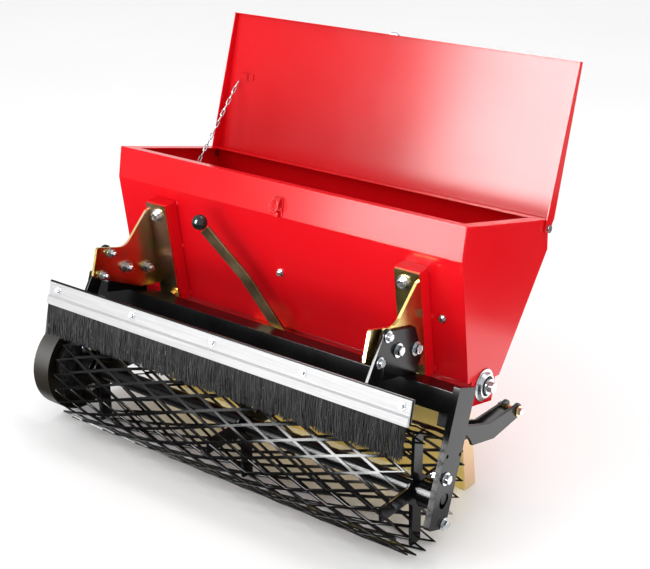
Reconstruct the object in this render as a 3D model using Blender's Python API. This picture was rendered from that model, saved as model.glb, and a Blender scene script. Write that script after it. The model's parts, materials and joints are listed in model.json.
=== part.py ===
"""Rear-mounted grass seeder for a two-wheel tractor.

A sheet-steel seed hopper with a hinged lid stands on a welded frame that carries
an expanded-metal cage roller and a brush.  The machine is drawn upright in its own
frame (X across, Y towards the tractor, Z up, origin at the front top bend of the
hopper) and parked by one parent empty, which leans it back until the roller and
the lower rim of the seed chute both stand on the floor.
"""

import math

import bmesh
import bpy
from mathutils import Vector

for old in list(bpy.data.objects):
    bpy.data.objects.remove(old)

# ---------------------------------------------------------------- driving dimensions
GAP = 0.0003                 # between pieces that touch
SHEET = 0.002                # hopper, lid and chute sheet

HOPPER_WIDTH = 0.800
HOPPER_HEIGHT = 0.280
HOPPER_DEPTH = 0.288         # at the rim
LIP_HEIGHT = 0.061           # upright band under the front rim
LIP_SET = 0.003
FLOOR_FRONT = 0.086          # where the sloping walls meet the floor
FLOOR_BACK = 0.197
BELLY_Y = 0.305              # fold in the back wall
BELLY_Z = -0.056
FRONT_FLANGE = 0.028
BACK_FLANGE = 0.024
END_FLANGE = 0.024
FLOOR_RETURN = 0.018

TROUGH_DEPTH = 0.042         # metering trough under the hopper floor
TROUGH_WALL = 0.020          # trough wall in from the hopper's floor corners
OUTLET_COUNT = 8
OUTLET_LENGTH = 0.030
OUTLET_WIDTH = 0.014

FEED_SHAFT_RADIUS = 0.0095
FEED_SHAFT_END = 0.440       # both ends, from the hopper's middle
ROTOR_RADIUS = 0.020
ROTOR_FLUTES = 8
BEARING_FLANGE_RADIUS = 0.036
BEARING_BODY_RADIUS = 0.026
BEARING_WIDTH = 0.0155

LID_REAR = 0.266             # lid sheet, closed, measured like the hopper's depth
LID_FRONT = -0.017
LID_CLEARANCE = 0.0015       # lid sheet over the rim
LID_SIDE_CLEARANCE = 0.0015
LID_SIDE_FLANGE = 0.010      # at the free edge; it widens towards the hinge
LID_FRONT_FLANGE = 0.012
LID_EAR_RADIUS = 0.010
LID_OPEN_DEG = 91.4
HINGE_Y = 0.284
HINGE_Z = -0.016
HINGE_BOLT_RADIUS = 0.003
HINGE_HEAD_RADIUS = 0.0075

FRAME_SHIFT = 0.018          # roller frame's middle, from the hopper's middle
ARM_SPAN = 0.844             # between the arms' inner faces
ARM_THICKNESS = 0.012
ARM_WIDTH = 0.055
ARM_LENGTH = 0.245
ARM_LEAN_DEG = 6.9
ARM_TOP_Y = -0.0075
ARM_TOP_Z = -0.2575
CROSSBAR_HEIGHT = 0.038
CROSSBAR_DEPTH = 0.048
CROSSBAR_THICKNESS = 0.005
CROSSBAR_TOP = -0.266

ROLLER_Y = -0.026
ROLLER_Z = -0.449
ROLLER_RADIUS = 0.110
ROLLER_LENGTH = 0.812
MESH_THICKNESS = 0.003
MESH_AROUND = 16             # diamonds round the cage
MESH_ALONG = 10              # half diamonds along it
MESH_OPENING = 0.80          # clear share of each diamond
TUBE_RADIUS = 0.017
STUB_RADIUS = 0.010
HUB_RADIUS = 0.026           # bearing housings on the arms
HUB_LENGTH = 0.030
SPIDER_THICKNESS = 0.006
SPIDER_ARMS = 4

PARK_LEAN_DEG = 12.7
CHUTE_HALF_WIDTH = 0.370
CHUTE_DEPTH = 0.035
CHUTE_TOP_FRONT = 0.1245
CHUTE_FOOT_FRONT = 0.198

HAT_WIDTH = 0.052            # red box sections on the front wall
HAT_HEIGHT = 0.026
HAT_CENTRES = (-0.274, 0.306)
HAT_TOP = 0.022              # distances down the sloping wall
HAT_FOOT = 0.230
BRACKET_THICKNESS = 0.005
BRACKET_TOP = 0.036
BRACKET_FOOT = 0.228
LUG_THICKNESS = 0.006
LINK_THICKNESS = 0.006

BRUSH_Y = -0.1525            # front face of the aluminium holder
BRUSH_TOP = -0.262
BRUSH_HEIGHT = 0.043
BRUSH_LENGTH = 0.835
HOLDER_SHEET = 0.002
HOLDER_LIP = 0.004
HOLDER_LIP_HEIGHT = 0.016
CARRIER_THICKNESS = 0.004
BRISTLE_LENGTH = 0.058

HITCH_THICKNESS = 0.006
HITCH_SPACING = 0.018        # clear space between the two cheeks
HITCH_PIN_Y = 0.214
HITCH_PIN_Z = -0.339
HITCH_PIN_RADIUS = 0.006
HITCH_TIP_RADIUS = 0.014

SPROCKET_X = -0.4335
ROLLER_SPROCKET_RADIUS = 0.045
FEED_SPROCKET_RADIUS = 0.030
SPROCKET_THICKNESS = 0.006
CHAIN_THICKNESS = 0.007
CHAIN_WIDTH = 0.008
GUARD_RADIUS = 0.095
GUARD_TOP_RADIUS = 0.055
GUARD_DEPTH = 0.042

CHAIN_ROD = 0.003            # stay chain of the lid
LEVER_WIDTH = 0.014
LEVER_THICKNESS = 0.006
KNOB_RADIUS = 0.015

# ---------------------------------------------------------------- sizes that follow
HALF_HOPPER = HOPPER_WIDTH / 2
HALF_INSIDE = HALF_HOPPER - SHEET - GAP
TROUGH_FRONT = FLOOR_FRONT + TROUGH_WALL
TROUGH_BACK = FLOOR_BACK - TROUGH_WALL
TROUGH_TOP = -HOPPER_HEIGHT - GAP
TROUGH_FLOOR = -HOPPER_HEIGHT - TROUGH_DEPTH
FEED_Y = (FLOOR_FRONT + FLOOR_BACK) / 2
FEED_Z = -HOPPER_HEIGHT - 0.010
ARM_LEAN = math.radians(ARM_LEAN_DEG)
PARK_LEAN = math.radians(PARK_LEAN_DEG)
ARM_RIGHT = FRAME_SHIFT + ARM_SPAN / 2
ARM_LEFT = FRAME_SHIFT - ARM_SPAN / 2
MESH_STAGGER = math.pi / MESH_AROUND


def floor_height(y):
    """Height of the parking floor under a point of the machine."""
    flat = ROLLER_RADIUS * math.cos(MESH_STAGGER / 2)
    return ROLLER_Z + ((y - ROLLER_Y) * math.sin(PARK_LEAN) - flat) / math.cos(PARK_LEAN)


WALL_TOP = Vector((LIP_SET, -LIP_HEIGHT))
WALL_FOOT = Vector((FLOOR_FRONT, -HOPPER_HEIGHT))
WALL_DOWN = (WALL_FOOT - WALL_TOP).normalized()
WALL_OUT = Vector((WALL_DOWN.y, -WALL_DOWN.x))


def on_wall(down, out=0.0):
    """Point (y, z) so far down the sloping front wall and so far out of it."""
    return tuple(WALL_TOP + WALL_DOWN * down + WALL_OUT * out)


# ---------------------------------------------------------------- materials
def material(name, colour, roughness, metallic):
    made = bpy.data.materials.new(name)
    made.use_nodes = True
    shader = made.node_tree.nodes["Principled BSDF"]
    shader.inputs["Base Color"].default_value = (*colour, 1.0)
    shader.inputs["Roughness"].default_value = roughness
    shader.inputs["Metallic"].default_value = metallic
    return made


RED = material("red_paint", (0.70, 0.02, 0.03), 0.30, 0.0)
BLACK = material("black_paint", (0.012, 0.012, 0.013), 0.35, 0.0)
GOLD = material("yellow_zinc", (0.55, 0.40, 0.18), 0.30, 1.0)
ZINC = material("bright_zinc", (0.72, 0.74, 0.76), 0.28, 1.0)
ALUMINIUM = material("aluminium", (0.85, 0.85, 0.86), 0.40, 1.0)
STEEL = material("bare_steel", (0.45, 0.44, 0.42), 0.40, 1.0)
NYLON = material("black_nylon", (0.010, 0.010, 0.010), 0.70, 0.0)
KNOB = material("black_plastic", (0.008, 0.010, 0.010), 0.12, 0.0)


# ---------------------------------------------------------------- modelling tools
def empty(name, parent=None, at=(0, 0, 0)):
    made = bpy.data.objects.new(name, None)
    bpy.context.collection.objects.link(made)
    made.parent = parent
    made.location = at
    return made


machine = empty("machine")


def finish(name, bm, finish_material, at=(0, 0, 0), parent=None, smooth=False):
    """Turn a bmesh into a named object on the machine."""
    bmesh.ops.recalc_face_normals(bm, faces=bm.faces)
    mesh = bpy.data.meshes.new(name)
    bm.to_mesh(mesh)
    bm.free()
    if smooth:
        mesh.shade_smooth()
        mesh.set_sharp_from_angle(angle=math.radians(35))
    made = bpy.data.objects.new(name, mesh)
    bpy.context.collection.objects.link(made)
    made.data.materials.append(finish_material)
    made.parent = parent or machine
    made.location = at
    return made


def prism_bm(outline, x0, x1):
    """Solid between two copies of a (y, z) outline."""
    bm = bmesh.new()
    near = [bm.verts.new((x0, y, z)) for y, z in outline]
    base = bm.faces.new(near)
    grown = bmesh.ops.extrude_face_region(bm, geom=[base])
    moved = [v for v in grown["geom"] if isinstance(v, bmesh.types.BMVert)]
    bmesh.ops.translate(bm, verts=moved, vec=(x1 - x0, 0, 0))
    return bm


def prism(name, outline, x0, x1, finish_material, **more):
    return finish(name, prism_bm(outline, x0, x1), finish_material, **more)


def folded(points, thickness):
    """Outline of a folded sheet: the given faces, and a second skin on their left."""
    path = [Vector(p) for p in points]
    offset = []
    for i, here in enumerate(path):
        before = (here - path[i - 1]).normalized() if i else None
        after = (path[i + 1] - here).normalized() if i + 1 < len(path) else None
        first = before or after
        second = after or before
        side = (first + second).normalized()
        left = Vector((-side.y, side.x))
        offset.append(here + left * thickness / left.dot(Vector((-first.y, first.x))))
    return [tuple(p) for p in path] + [tuple(p) for p in reversed(offset)]


def arc(centre, radius, start_deg, end_deg, steps):
    """Points (y, z) along an arc, in degrees from +y towards +z."""
    points = []
    for i in range(steps + 1):
        angle = math.radians(start_deg + (end_deg - start_deg) * i / steps)
        points.append((centre[0] + radius * math.cos(angle), centre[1] + radius * math.sin(angle)))
    return points


def rounded(points, radii, steps=4):
    """The outline with its corners rounded, each by its own radius."""
    result = []
    count = len(points)
    for i in range(count):
        here = Vector(points[i])
        radius = radii[i]
        if radius <= 0:
            result.append(tuple(here))
            continue
        towards = (Vector(points[i - 1]) - here).normalized()
        onwards = (Vector(points[(i + 1) % count]) - here).normalized()
        half = towards.angle(onwards) / 2
        reach = radius / math.tan(half)
        start = here + towards * reach
        end = here + onwards * reach
        centre = here + (towards + onwards).normalized() * radius / math.sin(half)
        for step in range(steps + 1):
            mix = start.lerp(end, step / steps)
            result.append(tuple(centre + (mix - centre).normalized() * radius))
    return result


def around_two(first, first_radius, second, second_radius, steps=10):
    """Outline of a belt round two circles in the (y, z) plane."""
    a, b = Vector(first), Vector(second)
    along = b - a
    heading = math.degrees(math.atan2(along.y, along.x))
    swing = math.degrees(math.acos((first_radius - second_radius) / along.length))
    around_first = arc(a, first_radius, heading + swing, heading + 360 - swing, 2 * steps)
    around_second = arc(b, second_radius, heading - swing, heading + swing, steps)
    return around_first + around_second


def turned(name, profile, finish_material, segments=24, **more):
    """Solid turned about X from (x, radius) points that start and end on the axis."""
    bm = bmesh.new()
    path = [bm.verts.new((x, 0, radius)) for x, radius in profile]
    edges = [bm.edges.new(pair) for pair in zip(path, path[1:])]
    bmesh.ops.spin(bm, geom=path + edges, cent=(0, 0, 0), axis=(1, 0, 0),
                   angle=2 * math.pi, steps=segments, use_merge=False)
    bmesh.ops.remove_doubles(bm, verts=bm.verts, dist=0.00001)
    return finish(name, bm, finish_material, smooth=True, **more)


def ring(name, outline, hole_radius, half_width, finish_material, **more):
    """Plate across X with a star-shaped or toothed outline and a round bore."""
    bm = bmesh.new()
    loops = []
    for x in (-half_width, half_width):
        for points in (outline, [(hole_radius * math.cos(math.atan2(z, y)),
                                  hole_radius * math.sin(math.atan2(z, y))) for y, z in outline]):
            loops.append([bm.verts.new((x, y, z)) for y, z in points])
    outer_near, inner_near, outer_far, inner_far = loops
    count = len(outline)
    for first, second in ((outer_near, inner_near), (inner_near, inner_far),
                          (inner_far, outer_far), (outer_far, outer_near)):
        for i in range(count):
            j = (i + 1) % count
            bm.faces.new((first[i], first[j], second[j], second[i]))
    return finish(name, bm, finish_material, **more)


def tool(name, bm, parent=None, at=(0, 0, 0)):
    """A cutter or a guide: drawn as wire and left out of the model."""
    made = finish(name, bm, STEEL, at=at, parent=parent)
    made.hide_render = True
    made.display_type = "WIRE"
    return made


def boolean(target, helper, operation):
    step = target.modifiers.new(operation.lower(), "BOOLEAN")
    step.operation = operation
    step.solver = "EXACT"
    step.object = helper


def cut(target, bm):
    boolean(target, tool(target.name + "_cut", bm, parent=target.parent), "DIFFERENCE")


def weld(target, bm):
    boolean(target, tool(target.name + "_add", bm, parent=target.parent), "UNION")


def bore_bm(y, z, radius, x0, x1, segments=24):
    return prism_bm(arc((y, z), radius, 0, 360, segments)[:-1], x0, x1)


# ---------------------------------------------------------------- hopper body
def hopper():
    front_path = [(FRONT_FLANGE, 0), (0, 0), (LIP_SET, -LIP_HEIGHT),
                  (FLOOR_FRONT, -HOPPER_HEIGHT), (FLOOR_FRONT + FLOOR_RETURN, -HOPPER_HEIGHT)]
    prism("hopper_front", folded(front_path, SHEET), -HALF_INSIDE, HALF_INSIDE, RED)
    back_path = [(FLOOR_BACK - FLOOR_RETURN, -HOPPER_HEIGHT), (FLOOR_BACK, -HOPPER_HEIGHT),
                 (BELLY_Y, BELLY_Z), (HOPPER_DEPTH, 0), (HOPPER_DEPTH - BACK_FLANGE, 0)]
    prism("hopper_back", folded(back_path, SHEET), -HALF_INSIDE, HALF_INSIDE, RED)

    tongue = TROUGH_FLOOR - SHEET - 0.002
    end_outline = [(0, 0), (LIP_SET, -LIP_HEIGHT), (FLOOR_FRONT, -HOPPER_HEIGHT),
                   (TROUGH_FRONT - 0.006, -HOPPER_HEIGHT), (TROUGH_FRONT - 0.006, tongue),
                   (TROUGH_BACK + 0.006, tongue), (TROUGH_BACK + 0.006, -HOPPER_HEIGHT),
                   (FLOOR_BACK, -HOPPER_HEIGHT), (BELLY_Y, BELLY_Z), (HOPPER_DEPTH, 0)]
    flange = [(FRONT_FLANGE + GAP, 0), (FRONT_FLANGE + GAP, -SHEET),
              (HOPPER_DEPTH - BACK_FLANGE - GAP, -SHEET), (HOPPER_DEPTH - BACK_FLANGE - GAP, 0)]
    for side, name in ((-1, "hopper_end_left"), (1, "hopper_end_right")):
        outer, inner = side * HALF_HOPPER, side * (HALF_HOPPER - SHEET)
        plate = prism(name, end_outline, inner, outer, RED)
        weld(plate, prism_bm(flange, side * (HALF_HOPPER - END_FLANGE), side * (HALF_HOPPER - SHEET / 2)))
        reach = side * (HALF_HOPPER - 2 * SHEET)
        beyond = side * (HALF_HOPPER + SHEET)
        cut(plate, bore_bm(FEED_Y, FEED_Z, FEED_SHAFT_RADIUS + 0.0025, reach, beyond))
        cut(plate, bore_bm(HINGE_Y, HINGE_Z, HINGE_BOLT_RADIUS + GAP, reach, beyond, 12))

    trough_path = [(TROUGH_BACK + FLOOR_RETURN - 0.001, TROUGH_TOP), (TROUGH_BACK, TROUGH_TOP),
                   (TROUGH_BACK, TROUGH_FLOOR), (TROUGH_FRONT, TROUGH_FLOOR),
                   (TROUGH_FRONT, TROUGH_TOP), (TROUGH_FRONT - FLOOR_RETURN + 0.001, TROUGH_TOP)]
    trough = prism("metering_trough", folded(trough_path, SHEET), -HALF_INSIDE, HALF_INSIDE, RED)
    outlets = bmesh.new()
    pitch = 2 * CHUTE_HALF_WIDTH / OUTLET_COUNT
    for i in range(OUTLET_COUNT):
        middle = (i + 0.5) * pitch - CHUTE_HALF_WIDTH
        made = bmesh.ops.create_cube(outlets, size=1.0)
        bmesh.ops.scale(outlets, verts=made["verts"], vec=(OUTLET_LENGTH, OUTLET_WIDTH, 0.02))
        bmesh.ops.translate(outlets, verts=made["verts"], vec=(middle, FEED_Y, TROUGH_FLOOR))
    cut(trough, outlets)


def hats():
    """Red box sections that carry the brackets, open below, welded to the front wall."""
    body = [on_wall(HAT_TOP, GAP), on_wall(HAT_TOP, HAT_HEIGHT),
            on_wall(HAT_FOOT, HAT_HEIGHT), on_wall(HAT_FOOT, GAP)]
    hollow = [on_wall(HAT_TOP + 0.003, -0.001), on_wall(HAT_TOP + 0.003, HAT_HEIGHT - 0.003),
              on_wall(HAT_FOOT + 0.003, HAT_HEIGHT - 0.003), on_wall(HAT_FOOT + 0.003, -0.001)]
    for centre, name in zip(HAT_CENTRES, ("bracket_pad_left", "bracket_pad_right")):
        pad = prism(name, body, centre - HAT_WIDTH / 2, centre + HAT_WIDTH / 2, RED)
        inside = HAT_WIDTH / 2 - 0.003
        cut(pad, prism_bm(hollow, centre - inside, centre + inside))


# ---------------------------------------------------------------- brackets and links
def brackets():
    """Yellow-zinc angle brackets, their black lugs, and the links to the brush."""
    near, far = HAT_HEIGHT + GAP, HAT_HEIGHT + GAP + BRACKET_THICKNESS
    back_leg = [on_wall(BRACKET_TOP, near), on_wall(BRACKET_TOP, far),
                on_wall(BRACKET_FOOT, far), on_wall(BRACKET_FOOT, near)]
    side_leg = rounded(
        [on_wall(BRACKET_TOP, near), on_wall(BRACKET_TOP, far + 0.006), (-0.066, -0.178),
         (-0.140, -0.175), (-0.143, -0.232), (-0.010, -0.260), on_wall(BRACKET_FOOT - 0.03, near)],
        [0, 0.004, 0.030, 0.005, 0.004, 0, 0])
    lug = rounded([(-0.092, -0.181), (-0.092, CROSSBAR_TOP + GAP), (0.012, CROSSBAR_TOP + GAP),
                   (0.022, -0.232), (-0.014, -0.181)], [0.004, 0, 0, 0.006, 0.006])
    foot_y = BRUSH_Y + HOLDER_SHEET + GAP + CARRIER_THICKNESS + GAP
    link = (arc((-0.104, -0.187), 0.013, 0, 165, 8)
            + [(foot_y, -0.262), (foot_y, -0.300), (foot_y + 0.022, -0.300)])
    for side, centre, tag in ((-1, HAT_CENTRES[0], "left"), (1, HAT_CENTRES[1], "right")):
        outer = centre + side * HAT_WIDTH / 2
        inner = outer - side * BRACKET_THICKNESS
        bracket = prism("bracket_" + tag, side_leg, inner, outer, GOLD)
        weld(bracket, prism_bm(back_leg, centre - side * 0.024, outer - side * 0.001))
        lug_face = outer + side * GAP
        prism("frame_lug_" + tag, lug, lug_face, lug_face + side * LUG_THICKNESS, BLACK)
        link_face = lug_face + side * (LUG_THICKNESS + GAP)
        prism("brush_link_" + tag, link, link_face, link_face + side * LINK_THICKNESS, BLACK)


# ---------------------------------------------------------------- roller frame
def frame():
    across = Vector((math.cos(ARM_LEAN), -math.sin(ARM_LEAN)))
    down = Vector((-math.sin(ARM_LEAN), -math.cos(ARM_LEAN)))
    top = Vector((ARM_TOP_Y, ARM_TOP_Z))
    half = across * ARM_WIDTH / 2
    outline = rounded([tuple(top - half), tuple(top - half + down * ARM_LENGTH),
                       tuple(top + half + down * ARM_LENGTH), tuple(top + half)],
                      [0.002, 0.006, 0.006, 0.002], steps=3)
    for side, inner, tag in ((-1, ARM_LEFT, "left"), (1, ARM_RIGHT, "right")):
        outer = inner + side * ARM_THICKNESS
        arm = prism("side_arm_" + tag, outline, inner, outer, BLACK)
        cut(arm, bore_bm(ROLLER_Y, ROLLER_Z, STUB_RADIUS + 0.0005, inner - side * 0.01, outer + side * 0.01))
        hub_end = inner - side * (GAP + HUB_LENGTH)
        hub = prism("roller_bearing_" + tag, arc((0, 0), HUB_RADIUS, 0, 360, 24)[:-1],
                    inner - side * GAP, hub_end, BLACK, at=(0, ROLLER_Y, ROLLER_Z), smooth=True)
        cut(hub, bore_bm(ROLLER_Y, ROLLER_Z, STUB_RADIUS + 0.0005, inner + side * 0.01, hub_end - side * 0.01))

    bar_path = [(-0.033 + CROSSBAR_DEPTH, CROSSBAR_TOP), (-0.033, CROSSBAR_TOP),
                (-0.033 - CROSSBAR_HEIGHT * math.tan(ARM_LEAN), CROSSBAR_TOP - CROSSBAR_HEIGHT)]
    prism("crossbar", folded(bar_path, CROSSBAR_THICKNESS), ARM_LEFT + GAP, ARM_RIGHT - GAP, BLACK)


def hitch():
    """Two-cheek brackets behind the arms, with the pins that take the tractor's links."""
    tip = (HITCH_PIN_Y, HITCH_PIN_Z)
    outline = ([(-0.018, -0.282), (-0.018, -0.374), (0.138, -0.377)]
               + arc(tip, HITCH_TIP_RADIUS, -58, 122, 8)
               + [(0.112, -0.345), (0.022, -0.333), (0.012, -0.318), (0.008, -0.282)])
    for side, inner, tag in ((-1, ARM_LEFT, "left"), (1, ARM_RIGHT, "right")):
        outside = inner - side * GAP
        between = outside - side * HITCH_THICKNESS
        beyond = between - side * HITCH_SPACING
        inside = beyond - side * HITCH_THICKNESS
        bracket = prism("hitch_bracket_" + tag, outline, inside, outside, BLACK)
        slot = [(0.045, -0.30), (0.045, -0.40), (0.26, -0.40), (0.26, -0.30)]
        cut(bracket, prism_bm(slot, beyond, between))
        cut(bracket, bore_bm(ROLLER_Y, ROLLER_Z, ROLLER_RADIUS + 0.006, inside - side * 0.01,
                             outside + side * 0.01, 48))
        cut(bracket, bore_bm(*tip, HITCH_PIN_RADIUS + GAP, inside - side * 0.01, outside + side * 0.01))
        head, shank = 0.0105, HITCH_PIN_RADIUS
        ends = (outside + side * GAP, inside - side * GAP)
        profile = [(ends[0] + side * 0.008, 0), (ends[0] + side * 0.008, head), (ends[0], head),
                   (ends[0], shank), (ends[1], shank), (ends[1], head), (ends[1] - side * 0.009, head),
                   (ends[1] - side * 0.009, 0)]
        turned("hitch_pin_" + tag, profile, ZINC, segments=12, at=(0, *tip))


# ---------------------------------------------------------------- brush
def brush():
    x0 = FRAME_SHIFT - BRUSH_LENGTH / 2
    x1 = FRAME_SHIFT + BRUSH_LENGTH / 2
    foot = BRUSH_TOP - BRUSH_HEIGHT
    back = BRUSH_Y + HOLDER_SHEET
    lip_top = foot + HOLDER_LIP_HEIGHT
    holder = [(back, BRUSH_TOP), (BRUSH_Y, BRUSH_TOP), (BRUSH_Y, lip_top + HOLDER_LIP / 2),
              (BRUSH_Y - HOLDER_LIP, lip_top - HOLDER_LIP / 2), (BRUSH_Y - HOLDER_LIP, foot), (back, foot)]
    prism("brush_holder", holder, x0, x1, ALUMINIUM)
    near = back + GAP
    far = near + CARRIER_THICKNESS
    carrier = [(near, BRUSH_TOP + 0.003), (near, foot + 0.004), (far, foot + 0.004), (far, BRUSH_TOP + 0.003)]
    prism("brush_carrier", carrier, x0 - 0.002, x1 + 0.002, BLACK)
    front = BRUSH_Y - HOLDER_LIP
    bristle_top = foot - GAP
    bristles = [(back, bristle_top), (front, bristle_top), (front - 0.003, bristle_top - BRISTLE_LENGTH),
                (back + 0.006, bristle_top - BRISTLE_LENGTH)]
    prism("brush_bristles", bristles, x0 + 0.002, x1 - 0.002, NYLON)


# ---------------------------------------------------------------- roller
def roller():
    axle = empty("roller_axis", machine, (FRAME_SHIFT, ROLLER_Y, ROLLER_Z))
    axle.rotation_euler = (PARK_LEAN, 0, 0)
    half = ROLLER_LENGTH / 2
    step = ROLLER_LENGTH / MESH_ALONG

    def node(i, j):
        angle = (j + 0.5 * (i % 2) + 0.25) * 2 * math.pi / MESH_AROUND
        return Vector((i * step - half, ROLLER_RADIUS * math.sin(angle), -ROLLER_RADIUS * math.cos(angle)))

    bm = bmesh.new()
    shared = {}

    def corner(i, j):
        key = (i, j % MESH_AROUND)
        if key not in shared:
            shared[key] = bm.verts.new(node(*key))
        return shared[key]

    for i in range(1, MESH_ALONG):
        for j in range(MESH_AROUND):
            odd = i % 2
            above = corner(i, j if odd else j + 1)
            below = corner(i, j - 1 if odd else j)
            ends = (j, j) if odd else (j, j)
            rim = [corner(i - 1, ends[0]), below, corner(i + 1, ends[1]), above]
            middle = sum((v.co for v in rim), Vector()) / 4
            inner = [bm.verts.new(middle + (v.co - middle) * MESH_OPENING) for v in rim]
            for k in range(4):
                n = (k + 1) % 4
                bm.faces.new((rim[k], rim[n], inner[n], inner[k]))
    cage = finish("roller_mesh", bm, BLACK, parent=axle)
    wall = cage.modifiers.new("wall", "SOLIDIFY")
    wall.thickness = MESH_THICKNESS
    wall.offset = -1.0

    left = ARM_LEFT + GAP + HUB_LENGTH + 0.003 - FRAME_SHIFT
    right = -left
    stub_left = ARM_LEFT - ARM_THICKNESS - FRAME_SHIFT - 0.026
    stub_right = ARM_RIGHT + ARM_THICKNESS - FRAME_SHIFT - 0.002
    turned("roller_tube", [(stub_left, 0), (stub_left, STUB_RADIUS), (left, STUB_RADIUS), (left, TUBE_RADIUS),
                           (right, TUBE_RADIUS), (right, STUB_RADIUS), (stub_right, STUB_RADIUS),
                           (stub_right, 0)], BLACK, parent=axle)

    reach = (ROLLER_RADIUS - MESH_THICKNESS) * math.cos(MESH_STAGGER / 2) - GAP
    star = []
    points_per_arm = 12
    for k in range(SPIDER_ARMS * points_per_arm):
        phase = k / points_per_arm
        along = abs(phase - round(phase)) * 2
        angle = phase * 2 * math.pi / SPIDER_ARMS
        radius = max(TUBE_RADIUS + 0.012, min(reach, 0.014 / max(math.sin(along * math.pi / SPIDER_ARMS), 0.01)))
        star.append((radius * math.cos(angle), radius * math.sin(angle)))
    for x, tag in ((left + 0.012, "left"), (0.0, "middle"), (right - 0.012, "right")):
        ring("roller_spider_" + tag, star, TUBE_RADIUS + GAP, SPIDER_THICKNESS / 2, BLACK,
             at=(x, 0, 0), parent=axle)
    ring("roller_sprocket", teeth(ROLLER_SPROCKET_RADIUS, 24), STUB_RADIUS + GAP, SPROCKET_THICKNESS / 2,
         STEEL, at=(SPROCKET_X - FRAME_SHIFT, 0, 0), parent=axle)


def teeth(radius, count):
    """Toothed outline: two points on the tip circle and two at the root of each tooth."""
    outline = []
    for i in range(count):
        for share, depth in ((0.0, 0.004), (0.30, 0.0), (0.55, 0.0), (0.85, 0.004)):
            angle = (i + share) * 2 * math.pi / count
            outline.append(((radius - depth) * math.cos(angle), (radius - depth) * math.sin(angle)))
    return outline


# ---------------------------------------------------------------- feed shaft and drive
def feed():
    axis = empty("feed_axis", machine, (0, FEED_Y, FEED_Z))
    turned("feed_shaft", [(-FEED_SHAFT_END, 0), (-FEED_SHAFT_END, FEED_SHAFT_RADIUS),
                          (FEED_SHAFT_END, FEED_SHAFT_RADIUS), (FEED_SHAFT_END, 0)], STEEL, parent=axis)
    flutes = []
    for i in range(ROTOR_FLUTES):
        for share, depth in ((0.0, 0.007), (0.35, 0.0), (0.60, 0.0), (0.95, 0.007)):
            angle = (i + share) * 2 * math.pi / ROTOR_FLUTES
            flutes.append(((ROTOR_RADIUS - depth) * math.cos(angle), (ROTOR_RADIUS - depth) * math.sin(angle)))
    ring("feed_rotor", flutes, FEED_SHAFT_RADIUS + GAP, HALF_INSIDE - 0.008, NYLON, parent=axis)
    ring("feed_sprocket", teeth(FEED_SPROCKET_RADIUS, 16), FEED_SHAFT_RADIUS + GAP, SPROCKET_THICKNESS / 2,
         STEEL, at=(SPROCKET_X, 0, 0), parent=axis)

    bore = FEED_SHAFT_RADIUS + 0.0005
    circle = arc((0, 0), 1.0, 0, 360, 24)[:-1]
    for side, tag in ((-1, "left"), (1, "right")):
        face = HALF_HOPPER + GAP
        profile = [(face, bore), (face, BEARING_FLANGE_RADIUS), (face + 0.003, BEARING_FLANGE_RADIUS),
                   (face + 0.006, BEARING_BODY_RADIUS), (face + BEARING_WIDTH - 0.001, BEARING_BODY_RADIUS - 0.002),
                   (face + BEARING_WIDTH - 0.001, bore)]
        bm = bmesh.new()
        rings = [[bm.verts.new((side * x, y * r, z * r)) for y, z in circle] for x, r in profile]
        for first, second in zip(rings, rings[1:] + rings[:1]):
            for i in range(len(circle)):
                j = (i + 1) % len(circle)
                bm.faces.new((first[i], first[j], second[j], second[i]))
        finish("shaft_bearing_" + tag, bm, ZINC, at=(0, FEED_Y, FEED_Z), smooth=True)


def drive():
    """Chain from the roller up to the feed shaft, under a pan-shaped guard."""
    low, high = (ROLLER_Y, ROLLER_Z), (FEED_Y, FEED_Z)
    clear = 0.001
    outer = around_two(low, ROLLER_SPROCKET_RADIUS + clear + CHAIN_THICKNESS,
                       high, FEED_SPROCKET_RADIUS + clear + CHAIN_THICKNESS)
    inner = around_two(low, ROLLER_SPROCKET_RADIUS + clear, high, FEED_SPROCKET_RADIUS + clear)
    loop = prism("drive_chain", outer, SPROCKET_X - CHAIN_WIDTH / 2, SPROCKET_X + CHAIN_WIDTH / 2, STEEL)
    cut(loop, prism_bm(inner, SPROCKET_X - CHAIN_WIDTH, SPROCKET_X + CHAIN_WIDTH))

    rim = ARM_LEFT - ARM_THICKNESS - GAP
    cover = rim - GUARD_DEPTH
    guard = prism("chain_guard", around_two(low, GUARD_RADIUS, high, GUARD_TOP_RADIUS, 14), cover, rim, BLACK,
                  smooth=True)
    cut(guard, prism_bm(around_two(low, GUARD_RADIUS - SHEET, high, GUARD_TOP_RADIUS - SHEET, 14),
                        cover + SHEET, rim + 0.01))


def chute():
    """Duct under the trough that leads the seed down behind the roller."""
    top = TROUGH_FLOOR - SHEET - GAP
    foot_back = CHUTE_FOOT_FRONT + CHUTE_DEPTH
    outline = [(CHUTE_TOP_FRONT, top), (CHUTE_FOOT_FRONT, floor_height(CHUTE_FOOT_FRONT)),
               (foot_back, floor_height(foot_back)), (CHUTE_TOP_FRONT + CHUTE_DEPTH, top)]
    lean = (Vector(outline[1]) - Vector(outline[0])).normalized() * 0.02
    inner = [(CHUTE_TOP_FRONT + SHEET - lean.x, top - lean.y), (CHUTE_FOOT_FRONT + SHEET + lean.x, outline[1][1] + lean.y),
             (foot_back - SHEET + lean.x, outline[2][1] + lean.y),
             (CHUTE_TOP_FRONT + CHUTE_DEPTH - SHEET - lean.x, top - lean.y)]
    duct = prism("seed_chute", outline, -CHUTE_HALF_WIDTH, CHUTE_HALF_WIDTH, GOLD)
    cut(duct, prism_bm(inner, SHEET - CHUTE_HALF_WIDTH, CHUTE_HALF_WIDTH - SHEET))


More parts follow.
